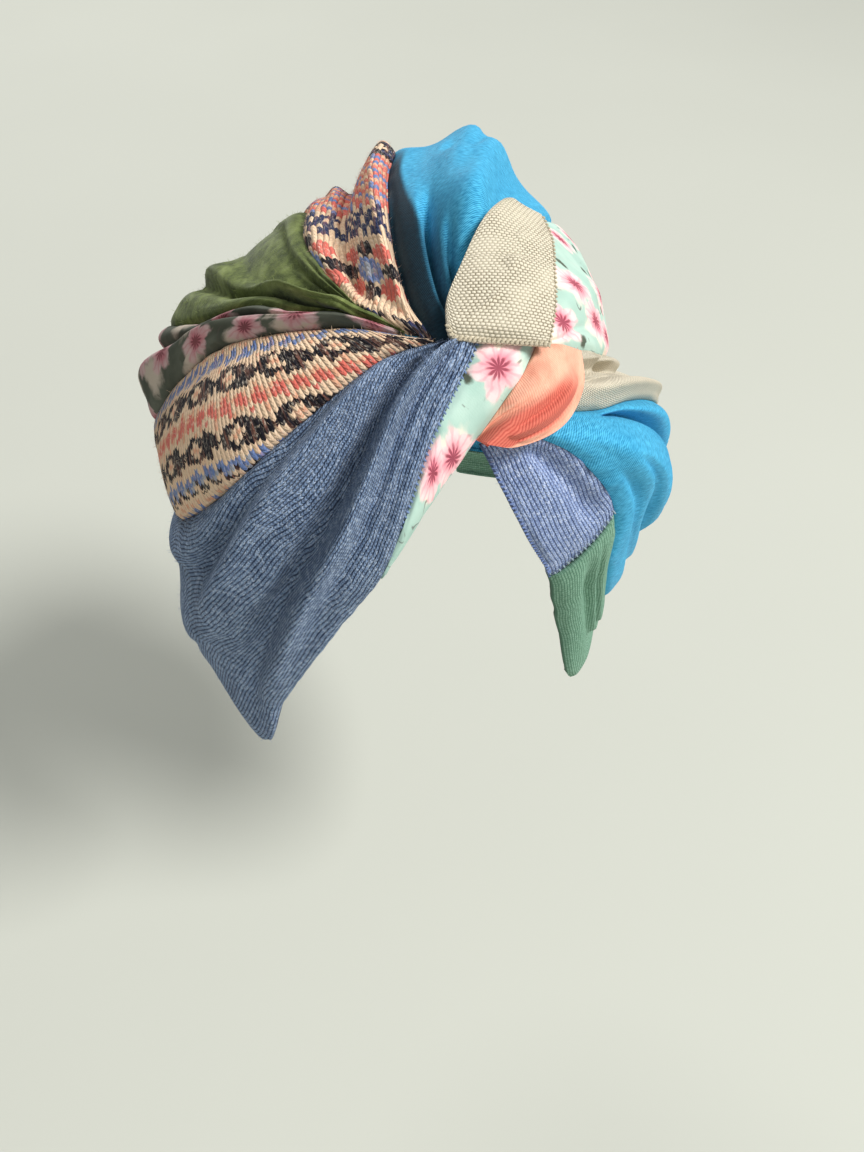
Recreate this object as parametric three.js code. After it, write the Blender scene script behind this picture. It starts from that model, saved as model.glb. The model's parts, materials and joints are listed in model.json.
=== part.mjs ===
// Turban headwrap: patchwork cloth strips that run from a front twist over the head to a gathered nape.
// Millimetres, +Z up, -Y is the wearer's front, +X the wearer's left.
// The origin is the seat: the top of the head hollow, under the crown.
import * as THREE from 'three';
import { mergeVertices } from 'three/addons/utils/BufferGeometryUtils.js';

// Head hollow, for a head of usual size
const HEAD_WIDTH = 144;
const HEAD_LENGTH = 184;
const HEAD_RISE = 70;
const HEAD_DROP = 220;

// Cloth
const CLOTH = 2.4;
const SEAM_GAP = 0.3;
const LAY_GAP = 1.2;
const LAY_SPREAD = 0.07;
const TOP_BIAS = 12;
const LAPEL_BASE = 0.2;

// Relief of the wound cloth over the hollow
const WRAP_LIFT = 30;
const FOLD_DEPTH = 10;

// Shares of a strip's length where its fullness has grown and where the nape gathers it
const FULL_AT = 0.12;
const GATHER_AT = 0.72;
const GATHER_LOSS = 0.9;

// Fineness of the faceted shells, in steps
const LONG_STEPS = 24;
const ACROSS_STEPS = 6;
const KNOT_STEPS = { across: 6, along: 8 };
const LAPEL_STEPS = { across: 8, along: 10 };
const SAMPLE_STEPS = { across: 10, along: 40 };

const HEAD_CENTRE = new THREE.Vector3(0, 0, -HEAD_RISE);

// Seams, from the front twist to the nape. Columns: bearing (degrees from the front, + to the
// wearer's left), height angle (degrees above the head's middle), lift (share of WRAP_LIFT)
const SEAMS = {
  wing_hem: [
    [11, 45, 0.82], [0, 33, 0.6], [-11, 6, 0.2], [-21, -12, 0.2], [-36, -37, 0.4],
    [-45, -49, 0.72], [-76, -45, 0.34], [-120, -42, 0.22], [-152, -46, 0.13],
  ],
  wing_top: [
    [4, 48, 0.74], [-9, 47, 0.48], [-28, 35.5, 0.24], [-50, 11, 0.2], [-74, -12, 0.36],
    [-100, -22, 0.32], [-125, -30, 0.26], [-145, -36, 0.2], [-157, -43, 0.13],
  ],
  fairisle_top: [
    [-3, 50.2, 0.5], [-25, 54, 0.3], [-53, 49, 0.2], [-75, 36.5, 0.17], [-86, 20, 0.24],
    [-93, 4, 0.42], [-126, -14, 0.28], [-150, -27, 0.2], [-162, -43, 0.13],
  ],
  roll_top: [
    [-4, 51, 0.5], [-26, 57, 0.36], [-44, 55.5, 0.32], [-67, 52.5, 0.24], [-90, 37, 0.22],
    [-108, 22, 0.42], [-137, 1, 0.32], [-156, -21, 0.22], [-166, -43, 0.13],
  ],
  green_top: [
    [-3.4, 51.7, 0.53], [-18, 58, 0.4], [-31, 63.5, 0.34], [-50, 68, 0.24], [-110, 68, 0.12],
    [-156, 47, 0.09], [-163, 14, 0.12], [-168, -15, 0.14], [-171, -43, 0.13],
  ],
  pleat: [
    [4, 48.2, 0.66], [0, 57, 0.49], [-2, 66, 0.46], [-3, 77, 0.5], [165, 83, 0.56],
    [167, 58, 0.6], [174, 30, 0.46], [178, -5, 0.3], [-177, -43, 0.13],
  ],
  cap_right: [
    [23, 45, 0.95], [30, 50, 0.98], [38, 55.5, 0.98], [50, 59.5, 0.93], [70, 58, 0.82],
    [96, 50, 0.62], [118, 40, 0.45], [150, 8, 0.34], [171, -43, 0.13],
  ],
  floral_right: [
    [26, 42.5, 0.95], [34, 40, 0.82], [41, 38, 0.74], [53, 33, 0.53], [80, 19, 0.25],
    [106, 6, 0.24], [134, -6, 0.24], [152, -21, 0.22], [165, -43, 0.13],
  ],
  beige_right: [
    [31, 30, 0.58], [38, 27.5, 0.64], [48, 24.5, 0.73], [60, 17.5, 0.78], [72, 6, 0.73],
    [96, -6, 0.66], [126, -18, 0.44], [146, -29, 0.28], [159, -43, 0.13],
  ],
  wing_right: [
    [21, 29, 0.48], [26, 25, 0.62], [32, 17, 0.65], [37, 7, 0.6], [39, -7, 0.52],
    [47, -26, 0.5], [76, -36, 0.42], [118, -39, 0.28], [152, -43, 0.13],
  ],
  face_right: [
    [12, 29, 0.16], [15, 19, 0.14], [19, 8, 0.14], [26, -7, 0.16], [31, -24, 0.25],
    [38, -41, 0.54], [72, -47, 0.42], [118, -45, 0.25], [150, -48, 0.13],
  ],
  strip_face: [[22, 41, 0.9], [9, 31, 0.46], [-2, 19, 0.2], [-10, 7, 0.2]],
  loop_edge: [[35, 39, 0.72], [31.5, 33.5, 0.84], [25, 29.5, 0.7], [16, 28.5, 0.54], [9.5, 30.5, 0.46]],
  lapel_left: [[5, 47.5, 0], [8, 54, 0], [16, 59.5, 0], [30, 64.5, 0], [49, 65.5, 0]],
  lapel_right: [[25, 42, 0], [31, 46.5, 0], [38, 51.5, 0], [48, 56, 0], [57, 60, 0]],
};

// Strips between two seams. span is the share of each seam that the strip follows, fullness the
// swell between the seams and each fold a ridge or valley along the strip.
// Columns of folds: place across at the start, at the end, width (shares of the strip),
// depth (share of FOLD_DEPTH, - for a valley), first and last share of the length
const STRIPS = [
  {
    name: 'left_wing_knit', seams: ['wing_hem', 'wing_top'], fullness: 0.4, colour: 0x46597f,
    folds: [
      [0.88, 0.86, 0.1, 0.75, 0.05, 0.9], [0.73, 0.68, 0.07, -1.15, -0.04, 0.62],
      [0.39, 0.44, 0.06, -0.9, -0.04, 0.5], [0.2, 0.12, 0.05, -0.35, 0.0, 0.3],
      [0.5, 0.5, 0.15, 0.5, 0.35, 0.85],
    ],
  },
  {
    name: 'left_wing_floral_strip', seams: ['strip_face', 'wing_hem'], span: [[0, 1], [0, 0.25]],
    fullness: 0.12, colour: 0xafd6c3, folds: [],
  },
  {
    name: 'left_fairisle_panel', seams: ['wing_top', 'fairisle_top'], fullness: 0.35,
    colour: 0xe1b991, folds: [[0.9, 0.85, 0.1, -0.25, 0.1, 0.5]],
  },
  {
    name: 'left_floral_roll', seams: ['fairisle_top', 'roll_top'], fullness: 0.4,
    colour: 0xc9d2c6, folds: [[0.5, 0.5, 0.22, 0.3, 0.35, 0.8], [0.75, 0.7, 0.1, -0.4, 0.25, 0.8]],
  },
  {
    name: 'green_roll', seams: ['roll_top', 'green_top'], fullness: 0.15, colour: 0x7d914b,
    folds: [
      [0.5, 0.3, 0.1, 0.6, 0.08, 0.45], [0.7, 0.6, 0.2, -0.8, 0.08, 0.95],
      [0.35, 0.15, 0.06, -0.4, 0.1, 0.5],
    ],
  },
  {
    name: 'top_fairisle_fold', seams: ['green_top', 'pleat'], fullness: 0.08, colour: 0xd8a98a,
    folds: [
      [0.86, 0.92, 0.14, 0.85, 0.03, 0.8], [0.14, 0.8, 0.13, -0.8, 0.12, 0.85],
      [0.08, 0.38, 0.09, -0.2, 0.3, 0.8],
    ],
  },
  {
    name: 'blue_cap', seams: ['pleat', 'cap_right'], fullness: 0.3, colour: 0x1f7ba8,
    folds: [
      [0.15, 0.13, 0.09, 0.3, 0.0, 0.45], [0.31, 0.28, 0.05, -0.7, 0.0, 0.42],
      [0.6, 0.38, 0.17, 1.4, 0.25, 0.95], [0.45, 0.5, 0.08, -0.45, 0.38, 0.8],
    ],
  },
  {
    name: 'right_floral_panel', seams: ['cap_right', 'floral_right'], fullness: 0.1,
    colour: 0xb4d9c8, folds: [[0.5, 0.5, 0.12, 0.2, 0.2, 0.5]],
  },
  {
    name: 'right_beige_panel', seams: ['floral_right', 'beige_right'], fullness: 0.25,
    colour: 0xcdbea0, folds: [[0.34, 0.4, 0.15, -0.7, 0.05, 0.7], [0.65, 0.65, 0.14, 0.4, 0.05, 0.7]],
  },
  {
    name: 'right_blue_wing', seams: ['beige_right', 'wing_right'], fullness: 0.55, colour: 0x2a86b8,
    folds: [
      [0.06, 0.6, 0.07, -0.55, 0.12, 0.5], [0.1, 0.16, 0.07, 0.2, 0.2, 0.7],
      [0.6, 0.6, 0.2, 0.5, 0.1, 0.75], [0.72, 0.66, 0.08, -0.5, 0.35, 0.9],
    ],
  },
  {
    name: 'right_inner_knit', seams: ['wing_right', 'face_right'], span: [[0, 0.375], [0, 0.375]],
    fullness: -0.05, colour: 0x8291c3, folds: [[0.25, 0.2, 0.16, -0.5, 0.05, 1]],
  },
  {
    name: 'right_green_jersey', seams: ['wing_right', 'face_right'], span: [[0.375, 1], [0.375, 1]],
    fullness: 0.35, colour: 0x5a966e, folds: [[0.5, 0.5, 0.12, -0.4, 0.0, 0.7]],
  },
];

// Cloth that lies on the strips, with the same columns
const LAPEL = {
  name: 'beige_lapel', seams: ['lapel_left', 'lapel_right'], fullness: 0.1, colour: 0xcabb9b,
  folds: [[0.5, 0.5, 0.14, 0.15, 0.3, 1]],
};
const KNOT = {
  name: 'knot_loop', seams: ['strip_face', 'loop_edge'], span: [[0, 0.333], [0, 1]],
  fullness: 0.3, colour: 0xe9956f, folds: [[0.55, 0.35, 0.1, -0.45, 0.1, 0.95]],
};

function direction(bearing, height) {
  const b = THREE.MathUtils.degToRad(bearing);
  const h = THREE.MathUtils.degToRad(height);
  return new THREE.Vector3(Math.sin(b) * Math.cos(h), -Math.cos(b) * Math.cos(h), Math.sin(h));
}

function headRadius(d) {
  const tall = d.z > 0 ? HEAD_RISE : HEAD_DROP;
  return 1 / Math.hypot(d.x / (HEAD_WIDTH / 2), d.y / (HEAD_LENGTH / 2), d.z / tall);
}

// A seam is a smooth curve through its rows, held as direction (x, y, z) and lift
function makeSeam(rows) {
  const ways = rows.map(([bearing, height]) => direction(bearing, height));
  const course = new THREE.CatmullRomCurve3(ways, false, 'centripetal');
  const lifts = new THREE.SplineCurve(rows.map((row) => new THREE.Vector2(0, row[2])));
  return (t) => ({ way: course.getPoint(t).normalize(), lift: lifts.getPoint(t).y });
}

const seams = Object.fromEntries(Object.entries(SEAMS).map(([name, rows]) => [name, makeSeam(rows)]));

function ridge(x, width) {
  return Math.exp(-((x / width) ** 2));
}

function fade(t, first, last) {
  const run = 0.25 * (last - first);
  const rise = THREE.MathUtils.smoothstep(t, first - 0.02, first + run);
  return rise * (1 - THREE.MathUtils.smoothstep(t, last - run, last + 0.02));
}

// Lift of a strip between its seams, in mm: the seams' own lift, the fullness and the folds
function strandLift(strip, t, v, base) {
  const edge = Math.sqrt(Math.sin(Math.PI * v));
  const grown = THREE.MathUtils.smoothstep(t, -FULL_AT, FULL_AT);
  const taper = grown * (1 - GATHER_LOSS * THREE.MathUtils.smoothstep(t, GATHER_AT, 1));
  let lift = base * WRAP_LIFT + strip.fullness * FOLD_DEPTH * edge * taper;
  for (const [from, to, width, depth, first, last] of strip.folds) {
    const place = THREE.MathUtils.lerp(from, to, t);
    lift += depth * FOLD_DEPTH * ridge(v - place, width) * fade(t, first, last) * edge;
  }
  return Math.max(lift, CLOTH + SEAM_GAP);
}

function strandPoint(strip, t, v) {
  const [spanA, spanB] = strip.span ?? [[0, 1], [0, 1]];
  const a = seams[strip.seams[0]](THREE.MathUtils.lerp(...spanA, t));
  const b = seams[strip.seams[1]](THREE.MathUtils.lerp(...spanB, t));
  const reach = a.way.distanceTo(b.way) * headRadius(a.way);
  const inset = Math.min(0.2, SEAM_GAP / 2 / reach);
  const w = THREE.MathUtils.lerp(inset, 1 - inset, v);
  const way = a.way.clone().lerp(b.way, w).normalize();
  return { way, lift: strandLift(strip, t, v, THREE.MathUtils.lerp(a.lift, b.lift, w)) };
}

function place(way, lift) {
  return way.clone().multiplyScalar(headRadius(way) + lift).add(HEAD_CENTRE);
}

// A grid of outer points with the way inwards at each: square to the cloth inside a strip,
// towards the head's middle along its seams, so that neighbours meet on one wall
function makeGrid({ across, along }, at) {
  const grid = [];
  for (let i = 0; i <= along; i += 1) {
    const row = [];
    for (let j = 0; j <= across; j += 1) {
      row.push(at(i / along, j / across));
    }
    grid.push(row);
  }
  return grid;
}

function inward(points, ways, i, j) {
  const along = points.length - 1;
  const across = points[0].length - 1;
  if (j === 0 || j === across || i === 0 || i === along) {
    return ways[i][j].clone().negate();
  }
  const du = points[i + 1][j].clone().sub(points[i - 1][j]);
  const dv = points[i][j + 1].clone().sub(points[i][j - 1]);
  const normal = du.cross(dv).normalize();
  if (normal.dot(ways[i][j]) > 0) {
    normal.negate();
  }
  return normal.lerp(ways[i][j].clone().negate(), 0.5).normalize();
}

function shell(grid) {
  const ways = grid.map((row) => row.map((p) => p.way));
  const outer = grid.map((row) => row.map((p) => place(p.way, p.lift)));
  const inner = outer.map((row, i) => row.map((p, j) => (
    p.clone().addScaledVector(inward(outer, ways, i, j), CLOTH)
  )));
  const along = outer.length - 1;
  const across = outer[0].length - 1;
  const triangles = [];
  const quad = (a, b, c, d) => triangles.push(a, b, c, a, c, d);
  for (let i = 0; i < along; i += 1) {
    for (let j = 0; j < across; j += 1) {
      quad(outer[i][j], outer[i + 1][j], outer[i + 1][j + 1], outer[i][j + 1]);
      quad(inner[i][j], inner[i][j + 1], inner[i + 1][j + 1], inner[i + 1][j]);
    }
    quad(outer[i][0], inner[i][0], inner[i + 1][0], outer[i + 1][0]);
    quad(outer[i][across], outer[i + 1][across], inner[i + 1][across], inner[i][across]);
  }
  for (let j = 0; j < across; j += 1) {
    quad(outer[0][j], outer[0][j + 1], inner[0][j + 1], inner[0][j]);
    quad(outer[along][j], inner[along][j], inner[along][j + 1], outer[along][j + 1]);
  }
  return facesOut(triangles);
}

function volumeOf(triangles) {
  let sum = 0;
  for (let k = 0; k < triangles.length; k += 3) {
    sum += triangles[k].dot(triangles[k + 1].clone().cross(triangles[k + 2]));
  }
  return sum / 6;
}

function facesOut(triangles) {
  const ordered = volumeOf(triangles) < 0 ? triangles.toReversed() : triangles;
  const geometry = new THREE.BufferGeometry().setFromPoints(ordered);
  return mergeVertices(geometry, 1e-4);
}

function stepsFor(strip) {
  const [first, last] = strip.span?.[strip.span.length - 1] ?? [0, 1];
  return Math.max(4, Math.round(LONG_STEPS * (last - first)));
}

// Points of the strips, for the cloth that lies on them
const laidSamples = STRIPS.flatMap((strip) => (
  makeGrid(SAMPLE_STEPS, (t, v) => strandPoint(strip, t, v)).flat()
));

// The strips' lift under a way: a mean over its surroundings that leans to the highest
function liftUnder(way, spread) {
  let sum = 0;
  let weight = 0;
  for (const sample of laidSamples) {
    const near = sample.way.distanceToSquared(way) / spread ** 2;
    if (near < 6) {
      const w = Math.exp(-near);
      sum += w * sample.lift ** TOP_BIAS;
      weight += w;
    }
  }
  return (sum / weight) ** (1 / TOP_BIAS);
}

function lapelPoint(t, v) {
  const a = seams.lapel_left(t);
  const b = seams.lapel_right(t);
  const way = a.way.clone().lerp(b.way, v).normalize();
  const swell = strandLift(LAPEL, t, v, LAPEL_BASE) - LAPEL_BASE * WRAP_LIFT;
  return { way, lift: liftUnder(way, LAY_SPREAD) + CLOTH + LAY_GAP + swell };
}

// The knot's loop keeps its own lift along the floral strip and lies on the ends that it hides
function knotPoint(t, v) {
  const own = strandPoint(KNOT, t, v);
  const laid = liftUnder(own.way, LAY_SPREAD) + CLOTH + LAY_GAP;
  const hides = THREE.MathUtils.smoothstep(v, 0.1, 0.5);
  const lift = THREE.MathUtils.lerp(own.lift, Math.max(own.lift, laid), hides);
  return { way: own.way, lift };
}

function cloth(name, geometry, colour) {
  const material = new THREE.MeshStandardMaterial({ color: colour, roughness: 0.92, metalness: 0 });
  const mesh = new THREE.Mesh(geometry, material);
  mesh.name = name;
  return mesh;
}

const headwrap = new THREE.Group();
for (const strip of STRIPS) {
  const steps = { across: ACROSS_STEPS, along: stepsFor(strip) };
  const grid = makeGrid(steps, (t, v) => strandPoint(strip, t, v));
  headwrap.add(cloth(strip.name, shell(grid), strip.colour));
}
headwrap.add(cloth(KNOT.name, shell(makeGrid(KNOT_STEPS, knotPoint)), KNOT.colour));
headwrap.add(cloth(LAPEL.name, shell(makeGrid(LAPEL_STEPS, lapelPoint)), LAPEL.colour));

export default headwrap;
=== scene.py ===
# Turban headwrap: every cloth strip of the worn wrap as a finely folded shell with its own weave.
import json
import math

import bpy
import numpy as np
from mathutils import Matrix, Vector

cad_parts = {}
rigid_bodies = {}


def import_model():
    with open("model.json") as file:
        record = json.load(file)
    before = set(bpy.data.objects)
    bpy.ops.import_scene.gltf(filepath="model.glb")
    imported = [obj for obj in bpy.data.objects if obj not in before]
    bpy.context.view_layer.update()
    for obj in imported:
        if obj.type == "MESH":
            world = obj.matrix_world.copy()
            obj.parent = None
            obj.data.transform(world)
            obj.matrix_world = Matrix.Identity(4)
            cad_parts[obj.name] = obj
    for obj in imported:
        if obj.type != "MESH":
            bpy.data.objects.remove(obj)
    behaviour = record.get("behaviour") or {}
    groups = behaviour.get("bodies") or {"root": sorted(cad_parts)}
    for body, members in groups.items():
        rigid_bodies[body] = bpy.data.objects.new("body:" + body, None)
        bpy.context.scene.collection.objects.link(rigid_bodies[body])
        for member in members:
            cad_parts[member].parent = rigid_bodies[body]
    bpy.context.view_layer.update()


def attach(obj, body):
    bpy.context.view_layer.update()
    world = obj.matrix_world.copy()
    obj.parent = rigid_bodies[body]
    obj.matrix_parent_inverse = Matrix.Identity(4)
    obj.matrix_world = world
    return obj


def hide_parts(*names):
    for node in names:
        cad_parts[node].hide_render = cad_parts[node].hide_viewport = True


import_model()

MM = 0.001

# Hollow of the wrap, an ellipsoid that is longer below its middle, metres
HEAD_WIDTH = 144 * MM
HEAD_LENGTH = 184 * MM
HEAD_RISE = 70 * MM
HEAD_DROP = 220 * MM
HEAD_CENTRE = np.array([0.0, 0.0, -HEAD_RISE])

# Cloth and its relief over the hollow
CLOTH = 1.9 * MM
LAY_GAP = 1.0 * MM
WRAP_LIFT = 30 * MM
FOLD_DEPTH = 10 * MM
SEAM_SINK = 1.3 * MM
SEAM_REACH = 1.6 * MM
SEAM_SLIT = 0.03 * MM
PUCKER_LENGTH = 5 * MM
LEAST_LIFT = CLOTH + 0.3 * MM
INWARD_LEAN = 0.4
HEM_DROP = 3 * MM
HEM_LENGTH = 0.09
THREAD_LIFT = 0.25 * MM

# The cloth's mean width over the hollow's own
WIDTH_OVER_HOLLOW = 1.12

# Brings the peak of an overlap's curve, x * exp(-x * x), to 1
STEP_PEAK = 2.33

# Shares of the lapel's length that its corners draw in, and of its width over which they do
CORNER_DRAW = 0.07
LOW_CORNER = 0.2
HIGH_CORNER = 0.25

# Shares of a strip's length where its fullness has grown and where the nape gathers it
FULL_AT = 0.12
GATHER_AT = 0.72
GATHER_LOSS = 0.9

# Points along and across a full strip, where they crowd to the seams, and over a laid piece
LONG_POINTS = 190
ACROSS_POINTS = 56
FEWEST_POINTS = 60
SEAM_CROWDING = 0.65
MOST_INSET = 0.2
SHORT_STRIP_SHARE = 0.35
LAID_POINTS = (89, 65)

# Points over each strip that the laid pieces feel, and how widely and how near the top they feel
SAMPLE_POINTS = (61, 21)
COARSE_STEP = 4
LAY_SPREAD = 0.07
TOP_BIAS = 12

# Camera, as the photograph's
FRAME_HEIGHT_PX = 1152
FOCAL_PX = 1100
CAMERA_AZIMUTH = -10.5
CAMERA_HEIGHT = 45.0
CAMERA_DISTANCE = 430 * MM
CAMERA_TARGET = Vector((10 * MM, -28 * MM, -128 * MM))

FLOOR_HEIGHT = -0.36
FLOOR_SIZE = 6
WORLD_STRENGTH = 0.38
# Area lights. Columns: name, place (m), width (m), power (W)
LIGHTS = [
    ("window", (1.68, -1.18, 2.45), 1.0, 122),
    ("fill", (-0.4, -2.4, 0.6), 1.6, 10),
    ("behind", (-0.5, 2.4, 1.6), 1.2, 40),
]
LIT_PLACE = Vector((0, 0, -80 * MM))

# Seams from the front twist to the nape. Columns: bearing (degrees from the front, + to the
# wearer's left), height angle (degrees above the hollow's middle), lift (share of WRAP_LIFT)
SEAMS = {
    "wing_hem": [
        (11, 45, 0.82), (0, 33, 0.6), (-11, 6, 0.2), (-21, -12, 0.2), (-36, -37, 0.4),
        (-45, -49, 0.72), (-76, -45, 0.34), (-120, -42, 0.22), (-152, -46, 0.13),
    ],
    "wing_top": [
        (4, 48, 0.74), (-9, 47, 0.48), (-28, 35.5, 0.24), (-50, 11, 0.2), (-74, -12, 0.36),
        (-100, -22, 0.32), (-125, -30, 0.26), (-145, -36, 0.2), (-157, -43, 0.13),
    ],
    "fairisle_top": [
        (-3, 50.2, 0.5), (-25, 54, 0.3), (-53, 49, 0.2), (-75, 36.5, 0.17), (-86, 20, 0.24),
        (-93, 4, 0.42), (-126, -14, 0.28), (-150, -27, 0.2), (-162, -43, 0.13),
    ],
    "roll_top": [
        (-4, 51, 0.5), (-26, 57, 0.36), (-44, 55.5, 0.32), (-67, 52.5, 0.24), (-90, 37, 0.22),
        (-108, 22, 0.42), (-137, 1, 0.32), (-156, -21, 0.22), (-166, -43, 0.13),
    ],
    "green_top": [
        (-3.4, 51.7, 0.53), (-18, 58, 0.4), (-31, 63.5, 0.34), (-50, 68, 0.24), (-110, 68, 0.12),
        (-156, 47, 0.09), (-163, 14, 0.12), (-168, -15, 0.14), (-171, -43, 0.13),
    ],
    "pleat": [
        (4, 48.2, 0.66), (0, 57, 0.49), (-2, 66, 0.46), (-3, 77, 0.5), (165, 83, 0.56),
        (167, 58, 0.6), (174, 30, 0.46), (178, -5, 0.3), (-177, -43, 0.13),
    ],
    "cap_right": [
        (23, 45, 0.95), (30, 50, 0.98), (38, 55.5, 0.98), (50, 59.5, 0.93), (70, 58, 0.82),
        (96, 50, 0.62), (118, 40, 0.45), (150, 8, 0.34), (171, -43, 0.13),
    ],
    "floral_right": [
        (26, 42.5, 0.95), (34, 40, 0.82), (41, 38, 0.74), (53, 33, 0.53), (80, 19, 0.25),
        (106, 6, 0.24), (134, -6, 0.24), (152, -21, 0.22), (165, -43, 0.13),
    ],
    "beige_right": [
        (31, 30, 0.58), (38, 27.5, 0.64), (48, 24.5, 0.73), (60, 17.5, 0.78), (72, 6, 0.73),
        (96, -6, 0.66), (126, -18, 0.44), (146, -29, 0.28), (159, -43, 0.13),
    ],
    "wing_right": [
        (21, 29, 0.48), (26, 25, 0.62), (32, 17, 0.65), (37, 7, 0.6), (39, -7, 0.52),
        (47, -26, 0.5), (76, -36, 0.42), (118, -39, 0.28), (152, -43, 0.13),
    ],
    "face_right": [
        (12, 29, 0.16), (15, 19, 0.14), (19, 8, 0.14), (26, -7, 0.16), (31, -24, 0.25),
        (38, -41, 0.54), (72, -47, 0.42), (118, -45, 0.25), (150, -48, 0.13),
    ],
    "strip_face": [(22, 41, 0.9), (9, 31, 0.46), (-2, 19, 0.2), (-10, 7, 0.2)],
    "loop_edge": [
        (35, 39, 0.72), (31.5, 33.5, 0.84), (25, 29.5, 0.7),
        (16, 28.5, 0.54), (9.5, 30.5, 0.46),
    ],
    "lapel_left": [(5, 47.5, 0), (8, 54, 0), (16, 59.5, 0), (30, 64.5, 0), (49, 65.5, 0)],
    "lapel_right": [(25, 42, 0), (31, 46.5, 0), (38, 51.5, 0), (48, 56, 0), (57, 60, 0)],
}

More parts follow.
